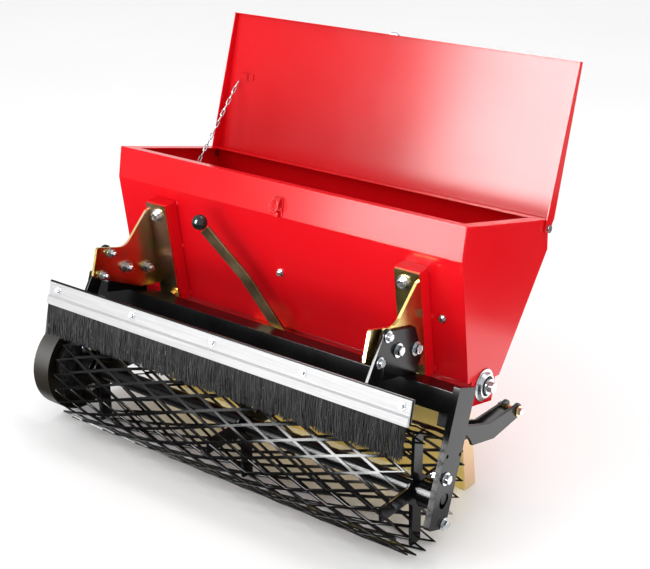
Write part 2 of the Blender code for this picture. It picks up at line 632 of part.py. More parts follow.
# ---------------------------------------------------------------- lid
def lid():
    """Lid, drawn closed about its hinge and swung open by the hinge empty."""
    hinge = empty("lid_hinge_axis", machine, (0, HINGE_Y, HINGE_Z))
    hinge.rotation_euler = (-math.radians(LID_OPEN_DEG), 0, 0)
    under = LID_CLEARANCE - HINGE_Z
    over = under + SHEET
    front, rear = LID_FRONT - HINGE_Y, LID_REAR - HINGE_Y
    side = HALF_HOPPER + LID_SIDE_CLEARANCE
    sheet_path = [(front, over - LID_FRONT_FLANGE), (front, over), (rear, over)]
    sheet_path = [(y, z) for y, z in reversed(sheet_path)]
    panel = prism("lid", folded(sheet_path, SHEET), -side - SHEET, side + SHEET, RED, parent=hinge)
    flange = ([(front, over), (front, over - LID_SIDE_FLANGE)]
              + arc((0, 0), LID_EAR_RADIUS, 250, 400, 10) + [(rear, over)])
    for sign in (-1, 1):
        weld(panel, prism_bm(flange, sign * side, sign * (side + SHEET)))
        cut(panel, bore_bm(0, 0, HINGE_BOLT_RADIUS + GAP, sign * (side - 0.005), sign * (side + 0.01), 12))

    catch = [(front - GAP, over - 0.006), (front - GAP, under - 0.016), (front - GAP - 0.002, under - 0.016),
             (front - GAP - 0.005, under - 0.013), (front - GAP - 0.002, under - 0.012),
             (front - GAP - 0.002, over - 0.006)]
    prism("lid_catch", catch, -0.001, 0.015, ZINC, parent=hinge)

    for sign, tag in ((-1, "left"), (1, "right")):
        ear = sign * (side + SHEET + GAP)
        nut = sign * (HALF_HOPPER - SHEET - GAP)
        profile = [(ear + sign * 0.005, 0), (ear + sign * 0.005, HINGE_HEAD_RADIUS), (ear, HINGE_HEAD_RADIUS),
                   (ear, HINGE_BOLT_RADIUS), (nut, HINGE_BOLT_RADIUS), (nut, 0.0055), (nut - sign * 0.006, 0.0055),
                   (nut - sign * 0.006, 0)]
        turned("lid_hinge_bolt_" + tag, profile, ZINC, segments=12, at=(0, HINGE_Y, HINGE_Z))


# ---------------------------------------------------------------- small fittings
def fittings():
    lip = (Vector(WALL_TOP) - Vector((0, 0))).normalized()
    out = Vector((lip.y, -lip.x))

    def on_lip(down, off):
        return tuple(lip * down + out * off)

    latch = [on_lip(0.027, GAP), on_lip(0.027, 0.004), on_lip(0.034, 0.009), on_lip(0.052, 0.009),
             on_lip(0.058, 0.003), on_lip(0.058, GAP)]
    prism("lid_latch", latch, -0.001, 0.015, RED)

    tab_top = TROUGH_TOP - SHEET - GAP
    tab = prism("shutter_tab", [(0.040, tab_top), (0.040, tab_top - 0.0025),
                                (TROUGH_FRONT - SHEET - GAP, tab_top - 0.0025),
                                (TROUGH_FRONT - SHEET - GAP, tab_top)], -0.083, 0.024, GOLD)
    cut(tab, bore_bm_z(-0.045, 0.062, 0.004, tab_top - 0.01, tab_top + 0.01))

    foot = Vector((0.008, 0.056, tab_top + GAP))
    grip = Vector((-0.137, -0.026, -0.112))
    along = (grip - foot).normalized()
    width = along.cross(Vector((0, WALL_OUT.x, WALL_OUT.y))).normalized()
    depth = width.cross(along).normalized()
    bm = bmesh.new()
    rings = []
    for centre, level in ((foot, True), (grip, False)):
        loop = []
        for a, b in ((-1, -1), (1, -1), (1, 1), (-1, 1)):
            point = centre + width * a * LEVER_WIDTH / 2 + depth * b * LEVER_THICKNESS / 2
            if level:
                point -= along * (point.z - foot.z) / along.z
            loop.append(bm.verts.new(point))
        rings.append(loop)
    bm.faces.new(rings[0])
    bm.faces.new(rings[1])
    for i in range(4):
        j = (i + 1) % 4
        bm.faces.new((rings[0][i], rings[0][j], rings[1][j], rings[1][i]))
    finish("metering_lever", bm, GOLD)
    ball = bmesh.new()
    bmesh.ops.create_uvsphere(ball, u_segments=20, v_segments=12, radius=KNOB_RADIUS)
    knob = finish("lever_knob", ball, KNOB, at=grip + along * (KNOB_RADIUS + GAP), smooth=True)
    return knob


def bore_bm_z(x, y, radius, z0, z1, segments=12):
    bm = bmesh.new()
    base = bmesh.ops.create_circle(bm, cap_ends=True, radius=radius, segments=segments)
    bmesh.ops.translate(bm, verts=base["verts"], vec=(x, y, z0))
    grown = bmesh.ops.extrude_face_region(bm, geom=list(bm.faces))
    moved = [v for v in grown["geom"] if isinstance(v, bmesh.types.BMVert)]
    bmesh.ops.translate(bm, verts=moved, vec=(0, 0, z1 - z0))
    return bm


def stay_chain():
    """Short chain that stops the lid: from a tab under the left rim to the lid."""
    low = Vector((-HALF_HOPPER + END_FLANGE + CHAIN_ROD + GAP, 0.212, -0.014))
    swing = math.radians(LID_OPEN_DEG)
    face = LID_CLEARANCE - HINGE_Z
    along = -0.160
    high = Vector((low.x, HINGE_Y + along * math.cos(swing) + face * math.sin(swing) - CHAIN_ROD,
                   HINGE_Z - along * math.sin(swing) + face * math.cos(swing)))
    curve = bpy.data.curves.new("lid_chain", "CURVE")
    curve.dimensions = "3D"
    curve.bevel_depth = CHAIN_ROD
    curve.bevel_resolution = 2
    curve.use_fill_caps = True
    line = curve.splines.new("POLY")
    steps = 12
    line.points.add(steps)
    for i in range(steps + 1):
        line.points[i].co = (*low.lerp(high, i / steps), 1.0)
    chain = bpy.data.objects.new("lid_chain", curve)
    bpy.context.collection.objects.link(chain)
    curve.materials.append(ZINC)
    chain.parent = machine
    return chain


def park():
    """Lean the machine back and put the middle of its box over the origin."""
    machine.rotation_euler = (-PARK_LEAN, 0, 0)
    bpy.context.view_layer.update()
    seen = bpy.context.evaluated_depsgraph_get()
    low, high = Vector((9, 9, 9)), Vector((-9, -9, -9))
    for made in bpy.data.objects:
        if made.type not in {"MESH", "CURVE"} or made.hide_render:
            continue
        solid = made.evaluated_get(seen)
        mesh = solid.to_mesh()
        for vertex in mesh.vertices:
            point = made.matrix_world @ vertex.co
            for k in range(3):
                low[k] = min(low[k], point[k])
                high[k] = max(high[k], point[k])
        solid.to_mesh_clear()
    machine.location = (-(low.x + high.x) / 2, -(low.y + high.y) / 2, -low.z)


hopper()
hats()
brackets()
frame()
hitch()
brush()
roller()
feed()
drive()
chute()
lid()
fittings()
stay_chain()
park()
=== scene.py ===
import json
import math
import random

import bpy
from mathutils import Matrix, Vector


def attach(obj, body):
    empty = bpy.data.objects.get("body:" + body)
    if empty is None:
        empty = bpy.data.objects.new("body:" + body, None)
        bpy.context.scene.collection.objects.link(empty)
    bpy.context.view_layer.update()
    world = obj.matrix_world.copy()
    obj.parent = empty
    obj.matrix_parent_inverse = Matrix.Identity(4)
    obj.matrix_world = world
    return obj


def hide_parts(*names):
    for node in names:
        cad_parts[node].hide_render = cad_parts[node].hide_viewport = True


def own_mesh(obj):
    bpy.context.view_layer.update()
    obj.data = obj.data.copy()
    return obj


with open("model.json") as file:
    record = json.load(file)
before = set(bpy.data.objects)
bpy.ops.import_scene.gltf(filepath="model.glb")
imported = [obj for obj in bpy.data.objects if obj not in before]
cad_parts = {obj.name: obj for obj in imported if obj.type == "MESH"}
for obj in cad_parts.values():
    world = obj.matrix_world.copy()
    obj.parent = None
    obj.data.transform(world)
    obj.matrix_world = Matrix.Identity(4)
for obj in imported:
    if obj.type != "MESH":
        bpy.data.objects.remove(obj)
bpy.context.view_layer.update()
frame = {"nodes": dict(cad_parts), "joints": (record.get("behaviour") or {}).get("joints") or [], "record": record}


# ---------------------------------------------------------------- floor, light and camera
# A plain pale studio floor under white light from all round, a soft light high on the
# left, a tall panel in front that the open lid mirrors, and a low card on the right.
def clear_selection():
    if bpy.context.mode != "OBJECT":
        bpy.ops.object.mode_set(mode="OBJECT")
    bpy.ops.object.select_all(action="DESELECT")


def soft_light(name, place, target, width, height, power, diffuse=True, glossy=True):
    lamp = bpy.data.lights.new(name, "AREA")
    lamp.shape = "RECTANGLE"
    lamp.size = width
    lamp.size_y = height
    lamp.energy = power
    holder = bpy.data.objects.new(name, lamp)
    bpy.context.scene.collection.objects.link(holder)
    holder.location = place
    holder.rotation_euler = (Vector(target) - Vector(place)).to_track_quat("-Z", "Y").to_euler()
    holder.visible_diffuse = diffuse
    holder.visible_glossy = glossy
    holder.visible_camera = False


MIDDLE = (0, 0, 0.3)
LID = (0.3, 0.25, 0.62)
LIP = (0.3, -0.1, 0.52)
STRAIGHT_UP = (0.86, 0.30, 1.0)
soft_light("key_light", (-1.2, -1.9, 2.7), MIDDLE, 1.3, 1.3, 19)
soft_light("top_light", (0.3, 0.9, 2.9), MIDDLE, 1.6, 1.0, 20)
soft_light("front_fill", (0.2, -2.4, 0.35), MIDDLE, 2.0, 0.6, 17, glossy=False)
soft_light("side_fill", (2.6, -1.2, 0.6), MIDDLE, 1.6, 1.0, 10, glossy=False)
soft_light("lid_panel", (-1.02, -2.95, 1.72), LID, 1.40, 2.0, 690, diffuse=False)
soft_light("lip_panel", (-1.40, -2.95, 0.36), LIP, 0.75, 0.4, 46, diffuse=False)
soft_light("side_card", (0.86, 0.30, 0.002), STRAIGHT_UP, 0.62, 0.75, 3.0, diffuse=False)

world = bpy.data.worlds.new("studio")
bpy.context.scene.world = world
world.use_nodes = True
world.node_tree.nodes["Background"].inputs["Color"].default_value = (1.0, 1.0, 1.0, 1)
world.node_tree.nodes["Background"].inputs["Strength"].default_value = 0.98
bpy.context.scene.view_settings.view_transform = "Standard"

LENS = 72.06
CAMERA_PLACE = (1.4320, -1.7960, 1.2435)
LOOKS_DOWN = 21.85
TURNS_LEFT = 37.371
camera = bpy.data.cameras.new("camera")
camera.sensor_width = 36
camera.lens = LENS
viewer = bpy.data.objects.new("camera", camera)
bpy.context.scene.collection.objects.link(viewer)
viewer.location = CAMERA_PLACE
viewer.rotation_euler = (math.radians(90 - LOOKS_DOWN), 0, math.radians(TURNS_LEFT))
bpy.context.scene.camera = viewer


class Value:
    """One socket of a material, so that shading can be written as arithmetic."""

    def __init__(self, finish, socket):
        self.finish = finish
        self.socket = socket

    def _with(self, operation, first, second):
        return self.finish.node("Math", {"operation": operation}, {0: first, 1: second})

    def __add__(self, other):
        return self._with("ADD", self, other)

    def __sub__(self, other):
        return self._with("SUBTRACT", self, other)

    def __rsub__(self, other):
        return self._with("SUBTRACT", other, self)

    def __mul__(self, other):
        return self._with("MULTIPLY", self, other)

    def __gt__(self, other):
        return self._with("GREATER_THAN", self, other)

    __radd__ = __add__
    __rmul__ = __mul__


class Finish:
    """A material: constants go on the shader's own sockets, patterns are made with node()."""

    def __init__(self, name, **constants):
        self.material = bpy.data.materials.new(name)
        self.material.use_nodes = True
        self.tree = self.material.node_tree
        self.shader = self.tree.nodes["Principled BSDF"]
        for socket, value in constants.items():
            self.shader.inputs[socket.replace("_", " ")].default_value = value
        self.place = self.node("TexCoord", output="Object")

    def node(self, kind, settings={}, sockets={}, output=0):
        made = self.tree.nodes.new("ShaderNode" + kind)
        for key, value in settings.items():
            if key == "stops":
                ramp = made.color_ramp
                while len(ramp.elements) < len(value):
                    ramp.elements.new(0.5)
                for element, (position, colour) in zip(ramp.elements, value):
                    element.position = position
                    element.color = (*colour, 1)
            else:
                setattr(made, key, value)
        for key, value in sockets.items():
            if isinstance(value, Value):
                self.tree.links.new(value.socket, made.inputs[key])
            else:
                made.inputs[key].default_value = value
        return Value(self, made.outputs[output])

    def noise(self, scale, detail=2.0, stretch=(1, 1, 1), roughness=0.5):
        place = self.node("Mapping", {}, {"Vector": self.place, "Scale": stretch})
        return self.node("TexNoise", {}, {"Vector": place, "Scale": scale, "Detail": detail,
                                          "Roughness": roughness}, "Fac")

    def ramp(self, factor, *stops):
        return self.node("ValToRGB", {"stops": stops}, {"Fac": factor}, "Color")

    def mix(self, factor, first, second):
        return self.node("Mix", {"data_type": "RGBA"}, {0: factor, 6: first, 7: second}, 2)

    def bump(self, height, strength, distance):
        return self.node("Bump", {}, {"Height": height, "Strength": strength, "Distance": distance})

    def shade(self, **links):
        for socket, value in links.items():
            self.tree.links.new(value.socket, self.shader.inputs[socket.replace("_", " ")])
        return self.material


floor_finish = Finish("studio_floor", Roughness=0.6)
floor_finish.shade(Base_Color=floor_finish.ramp(floor_finish.noise(0.7), (0.3, (0.90, 0.90, 0.90)),
                                                (0.7, (0.93, 0.93, 0.93))))
clear_selection()
bpy.ops.mesh.primitive_plane_add(size=14, location=(0, 0, -0.0005))
floor = bpy.context.object
floor.name = "floor"
floor.data.materials.append(floor_finish.material)

# Two black flags lie in front and at the right, seen only in reflections, which keeps
# the paint and the plated faces from mirroring the pale floor.
matt = Finish("flag_cloth", Roughness=1.0, Specular_IOR_Level=0.0)
matt.shade(Base_Color=matt.ramp(matt.noise(2), (0.4, (0.010, 0.010, 0.010)),
                                (0.6, (0.014, 0.014, 0.014))))
for name, place, size in (("front_flag", (-0.60, -0.95, 0.0005), (2.5, 1.35, 1)),
                          ("right_flag", (1.30, 1.20, 0.0005), (1.1, 1.0, 1))):
    clear_selection()
    bpy.ops.mesh.primitive_plane_add(size=1, location=place)
    flag = bpy.context.object
    flag.name = name
    bpy.ops.object.mode_set(mode="EDIT")
    bpy.ops.transform.resize(value=size)
    bpy.ops.object.mode_set(mode="OBJECT")
    flag.data.materials.append(matt.material)
    flag.visible_camera = False
    flag.visible_diffuse = False
    flag.visible_shadow = False


# ---------------------------------------------------------------- hopper
# Folded 2 mm sheet steel, seam-welded at the ends and powder-coated in a bright red
# with a faint orange peel.  The metering trough is folded from the same sheet.
def take(piece):
    """Make one piece the only one that operators act on."""
    clear_selection()
    piece.select_set(True)
    bpy.context.view_layer.objects.active = piece


def apply_all(piece):
    take(piece)
    for modifier in list(piece.modifiers):
        bpy.ops.object.modifier_apply(modifier=modifier.name)


def smooth(piece, degrees=40):
    take(piece)
    bpy.ops.object.shade_smooth_by_angle(angle=math.radians(degrees))
    flat = piece.modifiers.new("flat_faces", "WEIGHTED_NORMAL")
    flat.keep_sharp = True
    bpy.ops.object.modifier_apply(modifier=flat.name)


def round_edges(piece, width, segments=2, angle=30):
    edge = piece.modifiers.new("edge", "BEVEL")
    edge.width = width
    edge.segments = segments
    edge.limit_method = "ANGLE"
    edge.angle_limit = math.radians(angle)


def body_of(node):
    for name, members in frame["record"]["behaviour"]["bodies"].items():
        if node in members:
            return name


def soften(node, finish, width=0.0008, segments=2, angle=28, cutters=(), added=()):
    """A CAD part with its triangles merged into faces and its edges rounded."""
    piece = bpy.data.objects.new(node + "_softened", frame["nodes"][node].data.copy())
    bpy.context.scene.collection.objects.link(piece)
    take(piece)
    bpy.ops.object.mode_set(mode="EDIT")
    bpy.ops.mesh.customdata_custom_splitnormals_clear()
    bpy.ops.mesh.select_all(action="SELECT")
    bpy.ops.mesh.remove_doubles(threshold=0.00002)
    bpy.ops.mesh.dissolve_limited(angle_limit=math.radians(0.6))
    bpy.ops.object.mode_set(mode="OBJECT")
    for other in (*cutters, *added):
        change = piece.modifiers.new("change", "BOOLEAN")
        change.operation = "UNION" if other in added else "DIFFERENCE"
        change.solver = "EXACT"
        change.object = other
    if width:
        round_edges(piece, width, segments, angle)
    apply_all(piece)
    for other in (*cutters, *added):
        bpy.data.objects.remove(other)
    smooth(piece)
    piece.data.materials.clear()
    piece.data.materials.append(finish)
    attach(piece, body_of(node))
    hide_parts(node)
    return piece


red = Finish("red_powder_coat", Specular_IOR_Level=0.12)
shift = red.noise(2.2, 3)
peel = red.noise(700, 1)
red_paint = red.shade(
    Base_Color=red.ramp(shift, (0.25, (0.62, 0.0025, 0.0065)), (0.55, (0.67, 0.0045, 0.0100)),
                        (0.80, (0.71, 0.0070, 0.0140))),
    Roughness=red.noise(9, 4) * 0.08 + 0.15,
    Normal=red.bump(peel, 0.10, 0.00006))
soften("hopper_front", red_paint, 0.0010, angle=10)
for node in ("hopper_back", "hopper_end_left", "hopper_end_right", "metering_trough"):
    soften(node, red_paint, 0.0008)


# ---------------------------------------------------------------- bracket pads
# Two pressed box sections, red like the hopper, tack-welded to the front wall along
# their edges.  The tacks stand up as small shiny beads under the paint.

# The whole machine is parked leaning back on its roller.  New pieces are modelled
# upright, square to the hopper, and then leaned with it.
LEAN = math.radians(12.7)
roller_joint = next(joint for joint in frame["joints"] if joint["name"] == "roller_spin")
ROLLER_AXIS = Vector((0.018, -0.026, -0.449))
lean = Matrix.Rotation(-LEAN, 4, "X")
park = Matrix.Translation(Vector(roller_joint["pos_m"])) @ lean @ Matrix.Translation(-ROLLER_AXIS)


def bake_place(piece):
    take(piece)
    bpy.ops.object.transform_apply(location=True, rotation=True, scale=True)


def settle(piece, finish, body, slot, *nodes):
    """Bake a piece's place into its mesh, lean it with the machine and fix it to a body."""
    bake_place(piece)
    piece.data.transform(park)
    piece.data.materials.clear()
    piece.data.materials.append(finish)
    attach(piece, body)
    if nodes:
        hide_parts(*nodes)
    return piece


def face_outwards():
    bpy.ops.object.mode_set(mode="EDIT")
    bpy.ops.mesh.select_all(action="SELECT")
    bpy.ops.mesh.normals_make_consistent(inside=False)
    bpy.ops.object.mode_set(mode="OBJECT")


def slab(outline, left, right):
    """A plate between two planes of X, with four corners given as (y, z)."""
    clear_selection()
    bpy.ops.mesh.primitive_cube_add(size=2)
    plate = bpy.context.object
    corners = dict(zip(((-1, -1), (-1, 1), (1, 1), (1, -1)), outline))
    for vertex in plate.data.vertices:
        y, z = corners[round(vertex.co.y), round(vertex.co.z)]
        vertex.co = (right if vertex.co.x > 0 else left, y, z)
    face_outwards()
    return plate


def parked(piece):
    piece.data.transform(park)
    return piece


WALL_TOP = Vector((0.003, -0.061))
WALL_FOOT = Vector((0.086, -0.280))
WALL_DOWN = (WALL_FOOT - WALL_TOP).normalized()
WALL_OUT = Vector((WALL_DOWN.y, -WALL_DOWN.x))


def on_wall(x, down, out=0.0):
    """A point so far across, so far down the sloping front wall and so far out of it."""
    spot = WALL_TOP + WALL_DOWN * down + WALL_OUT * out
    return Vector((x, spot.x, spot.y))


def wall_slab(top, foot, low, high, left, right):
    """A slab on the wall between two distances down it and two heights out of it."""
    spots = ((top, low), (top, high), (foot, high), (foot, low))
    return parked(slab([tuple(on_wall(0, *spot))[1:] for spot in spots], left, right))


def join(pieces, name):
    """Like pieces made one mesh, which keeps the first one's place."""
    clear_selection()
    for piece in pieces:
        piece.select_set(True)
    bpy.context.view_layer.objects.active = pieces[0]
    if len(pieces) > 1:
        bpy.ops.object.join()
    pieces[0].name = name
    return pieces[0]


PAD_HALF = 0.026
TACKED = (0.028, 0.118, 0.222)
TACK_CLEAR = 0.005
GAP_LOW, GAP_HIGH = -0.001, 0.0013
GAP_OUTSIDE, GAP_INSIDE = 0.001, 0.004
for node, centre in (("bracket_pad_left", -0.274), ("bracket_pad_right", 0.306)):
    gaps = []
    for edge in (centre - PAD_HALF, centre + PAD_HALF):
        if edge > centre:
            left, right = edge - GAP_INSIDE, edge + GAP_OUTSIDE
        else:
            left, right = edge - GAP_OUTSIDE, edge + GAP_INSIDE
        for top, foot in zip(TACKED, TACKED[1:]):
            gaps.append(wall_slab(top + TACK_CLEAR, foot - TACK_CLEAR, GAP_LOW, GAP_HIGH,
                                  left, right))
    soften(node, red_paint, 0.0016, 3, cutters=gaps)

TACK_SIZE = 0.0042
PAD_EDGES = (-0.2475, -0.3005, 0.3325, 0.2795)
tacks = []
for spot in [on_wall(edge, down, 0.0004) for edge in PAD_EDGES for down in TACKED]:
    clear_selection()
    bpy.ops.mesh.primitive_uv_sphere_add(segments=12, ring_count=8, radius=TACK_SIZE, location=spot)
    bead = bpy.context.object
    bpy.ops.object.mode_set(mode="EDIT")
    bpy.ops.transform.resize(value=(0.75, 0.55, 1.25))
    bpy.ops.transform.vertex_random(offset=0.0004, seed=len(tacks))
    bpy.ops.object.mode_set(mode="OBJECT")
    tacks.append(bead)
welds = join(tacks, "pad_tack_welds")
smooth(welds, 60)
settle(welds, red_paint, "frame", "red_paint")


# ---------------------------------------------------------------- lid
# One folded sheet with flanges down both sides that widen to the hinge ears.  A red
# strap loop welded inside takes the stay chain, and a bent hook on the free edge is
# what the latch catches.
zinc = Finish("bright_zinc", Metallic=1.0)
zinc_paint = zinc.shade(
    Base_Color=zinc.ramp(zinc.noise(60, 3), (0.3, (0.38, 0.40, 0.42)), (0.7, (0.60, 0.62, 0.64))),
    Roughness=zinc.noise(180, 3) * 0.22 + 0.16,
    Normal=zinc.bump(zinc.noise(900, 2), 0.12, 0.0001))
for node in ("lid_catch", "lid_hinge_bolt_left", "lid_hinge_bolt_right"):
    soften(node, zinc_paint, 0.0005, 2)

HINGE = Vector((0, 0.284, -0.016))
OPENING = math.radians(91.4)
SHEET_UNDER = 0.0175


def on_lid(x, along, proud):
    """A point on the open lid: so far from the hinge and so far in front of its inner face."""
    depth = SHEET_UNDER - proud
    return Vector((x, HINGE.y - along * math.cos(OPENING) + depth * math.sin(OPENING),
                   HINGE.z + along * math.sin(OPENING) + depth * math.cos(OPENING)))


HEM_START, HEM_END = 0.004, 0.0185
HEM_DEEP = -0.002
HEM_HALF = 0.4013
hem = [tuple(on_lid(0, along, proud))[1:] for along, proud in
       ((HEM_START, 0), (HEM_END, 0), (HEM_END, HEM_DEEP), (HEM_START, HEM_DEEP))]
soften("lid", red_paint, 0.0008, added=[parked(slab(hem, -HEM_HALF, HEM_HALF))])

STRAP_SIZE = (0.036, 0.002, 0.013)
LOOP_HALF = 0.0085
LOOP_RISE = 0.0072
clear_selection()
bpy.ops.mesh.primitive_cube_add(size=1, location=on_lid(-0.354, 0.172, 0.0085))
strap = bpy.context.object
strap.name = "chain_strap"
bpy.ops.object.mode_set(mode="EDIT")
bpy.ops.transform.resize(value=STRAP_SIZE)
bpy.ops.mesh.subdivide(number_cuts=7)
bpy.ops.object.mode_set(mode="OBJECT")
for vertex in strap.data.vertices:
    if abs(vertex.co.x) > LOOP_HALF:
        vertex.co.y += LOOP_RISE
round_edges(strap, 0.0005)
apply_all(strap)
smooth(strap)
settle(strap, red_paint, "lid", "red_paint")


# ---------------------------------------------------------------- stay chain
# A short welded chain of twisted zinc links, about 200 mm long, from inside the
# hopper's left end to the strap on the lid.  It is taut while the lid is open.
CHAIN_FOOT = Vector((-0.3727, 0.203, -0.030))
CHAIN_HEAD = on_lid(-0.3712, 0.160, 0.006)
LINK_WIRE = 0.0013
LINK_LONG = 0.0180
LINK_WIDE = 0.0080
LINK_TWIST = 14
LINK_ROLL = 35
run = CHAIN_HEAD - CHAIN_FOOT
link_count = round(run.length / (LINK_LONG - 2.6 * LINK_WIRE))
links = []
for index in range(link_count):
    clear_selection()
    bpy.ops.mesh.primitive_torus_add(major_radius=LINK_WIDE / 2 - LINK_WIRE,
                                     minor_radius=LINK_WIRE, major_segments=16, minor_segments=6)
    link = bpy.context.object
    for vertex in link.data.vertices:
        vertex.co.x += math.copysign((LINK_LONG - LINK_WIDE) / 2, vertex.co.x)
        vertex.co.z += vertex.co.x * vertex.co.y * LINK_TWIST
    heading = run.to_track_quat("X", "Z").to_matrix().to_4x4()
    roll = Matrix.Rotation(math.radians(LINK_ROLL + 90 * (index % 2)), 4, "X")
    centre = CHAIN_FOOT + run * ((index + 0.5) / link_count)
    link.matrix_world = Matrix.Translation(centre) @ heading @ roll
    links.append(link)
chain = join(links, "stay_chain_links")
smooth(chain, 60)
settle(chain, zinc_paint, "frame", "bright_zinc", "lid_chain")
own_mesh(chain)


# ---------------------------------------------------------------- latch
# A pressed clip riveted to the front lip and painted with the hopper: a base plate, a
# sprung lever, the wire bail that it draws down over the catch, and a foot.
LIP_DOWN = WALL_TOP.normalized()
LIP_OUT = Vector((LIP_DOWN.y, -LIP_DOWN.x))


def on_lip(*spots):
    """Points in the (y, z) plane from distances down the upright lip and out of it."""
    return [tuple(LIP_DOWN * down + LIP_OUT * out) for down, out in spots]


base_plate = on_lip((0.024, 0.0003), (0.024, 0.0020), (0.058, 0.0020), (0.058, 0.0003))
clip_lever = on_lip((0.026, 0.0022), (0.026, 0.0045), (0.046, 0.0125), (0.046, 0.0105))
clip_foot = on_lip((0.050, 0.0022), (0.052, 0.0085), (0.061, 0.0085), (0.061, 0.0022))
clip = [slab(base_plate, -0.0035, 0.0175),
        slab(clip_lever, 0.0005, 0.0135),
        slab(clip_foot, 0.0010, 0.0130)]
for plate in clip:
    round_edges(plate, 0.0006)
    apply_all(plate)
    smooth(plate)
clear_selection()
BAIL_CENTRE = (0.007, -0.0128, -0.041)
BAIL_RADIUS, BAIL_WIRE = 0.0095, 0.0013
BAIL_LEAN = math.radians(78)
bpy.ops.mesh.primitive_torus_add(major_radius=BAIL_RADIUS, minor_radius=BAIL_WIRE,
                                 major_segments=28, minor_segments=8,
                                 location=BAIL_CENTRE, rotation=(BAIL_LEAN, 0, 0))
bail = bpy.context.object
bpy.ops.object.mode_set(mode="EDIT")
bpy.ops.transform.resize(value=(1.0, 1.0, 1.30), orient_type="GLOBAL", center_override=BAIL_CENTRE)
bpy.ops.object.mode_set(mode="OBJECT")
smooth(bail, 60)
settle(join([bail, *clip], "latch_clip"), red_paint, "frame", "red_paint", "lid_latch")


# ---------------------------------------------------------------- brackets
# Laser-cut 5 mm angle brackets in yellow zinc: the plate shows olive, straw and a
# little pink where the passivate is thicker.
gold = Finish("yellow_zinc", Metallic=1.0)
drift = gold.noise(7, 3, roughness=0.6)
cloud = gold.noise(26, 4, stretch=(1, 1, 0.5))
gold_tone = gold.ramp(drift + (cloud - 0.5) * 0.35,
                      (0.25, (0.28, 0.23, 0.07)), (0.42, (0.50, 0.39, 0.14)),
                      (0.54, (0.66, 0.47, 0.20)), (0.64, (0.72, 0.42, 0.30)),
                      (0.78, (0.40, 0.43, 0.16)))
gold_plate = gold.shade(Base_Color=gold_tone, Roughness=cloud * 0.20 + 0.13,
                        Normal=gold.bump(gold.noise(420, 3), 0.08, 0.0001))
PAD_FRONT = 0.0263
BRACKET_FRONT = 0.0313
HEAD_TOP, HEAD_FOOT = 0.0225, 0.0400
for node, left, right in (("bracket_left", -0.300, -0.250), ("bracket_right", 0.282, 0.332)):
    head = wall_slab(HEAD_TOP, HEAD_FOOT, PAD_FRONT, BRACKET_FRONT, left, right)
    soften(node, gold_plate, 0.0007, added=[head])

black = Finish("black_gloss_paint", Specular_IOR_Level=0.13)
grain = black.noise(11, 4)
black_paint = black.shade(
    Base_Color=black.ramp(grain, (0.3, (0.0025, 0.0025, 0.0028)), (0.7, (0.0050, 0.0050, 0.0055))),
    Roughness=grain * 0.12 + 0.12,
    Normal=black.bump(black.noise(650, 2), 0.12, 0.00008))
for node in ("frame_lug_left", "frame_lug_right", "brush_link_left", "brush_link_right"):
    soften(node, black_paint, 0.0007)


# ---------------------------------------------------------------- bolts and nuts
# Zinc-plated hexagon bolts, M10 through the lugs and M6 on the wall, each on a washer.
# The nuts' side shows a flanged nut and a few turns of thread.
SUNK = 0.0005
THREAD_PITCH = 0.0015
THREAD_ROOT = 0.86


def pick_top(piece):
    """Go to edit mode with only the faces that look up selected."""
    bpy.ops.object.mode_set(mode="EDIT")
    bpy.ops.mesh.select_mode(type="FACE")
    bpy.ops.mesh.select_all(action="DESELECT")
    bpy.ops.object.mode_set(mode="OBJECT")
    for face in piece.data.polygons:
        face.select = face.normal.z > 0.9
    bpy.ops.object.mode_set(mode="EDIT")


def hexagon(name, spot, axis, across, height, washer=0.0, shank=0.0):
    """A bolt head or a nut standing on a surface at spot and pointing along axis."""
    parts = []
    clear_selection()
    bpy.ops.mesh.primitive_cylinder_add(vertices=6, radius=across / math.sqrt(3), depth=height,
                                        location=(0, 0, height / 2 + washer * 0.9))
    head = bpy.context.object
    pick_top(head)
    bpy.ops.mesh.inset(thickness=across * 0.10, depth=across * 0.05)
    bpy.ops.mesh.inset(thickness=across * 0.08, depth=-across * 0.03)
    bpy.ops.object.mode_set(mode="OBJECT")
    round_edges(head, across * 0.03)
    parts.append(head)
    if washer:
        bpy.ops.mesh.primitive_cylinder_add(vertices=28, radius=across * 0.78, depth=washer,
                                            location=(0, 0, washer / 2))
        ring = bpy.context.object
        round_edges(ring, washer * 0.25)
        parts.append(ring)
    if shank:
        root = washer + height - SUNK
        bpy.ops.mesh.primitive_cylinder_add(vertices=16, radius=across * 0.29, depth=shank,
                                            end_fill_type="NGON",
                                            location=(0, 0, root + shank / 2))
        thread = bpy.context.object
        turns = max(3, round(shank / THREAD_PITCH))
        bpy.ops.object.mode_set(mode="EDIT")
        for turn in range(1, 2 * turns):
            level = root + shank * turn / (2 * turns)
            bpy.ops.mesh.select_all(action="SELECT")
            bpy.ops.mesh.bisect(plane_co=(0, 0, level), plane_no=(0, 0, 1))
        bpy.ops.object.mode_set(mode="OBJECT")
        for vertex in thread.data.vertices:
            step = round((vertex.co.z + shank / 2) / shank * 2 * turns)
            squeeze = THREAD_ROOT if step % 2 or step == 2 * turns else 1.0
            vertex.co.x *= squeeze
            vertex.co.y *= squeeze
        parts.append(thread)
    for part in parts:
        apply_all(part)
    made = join(parts, name)
    bake_place(made)
    turn = Matrix.Rotation(math.radians(17), 4, "Z")
    made.data.transform(Vector(axis).to_track_quat("Z", "Y").to_matrix().to_4x4() @ turn)
    made.data.transform(Matrix.Translation(spot))
    smooth(made, 32)
    return made


def group(name, pieces, finish, body, slot, *nodes):
    return settle(join(pieces, name), finish, body, slot, *nodes)


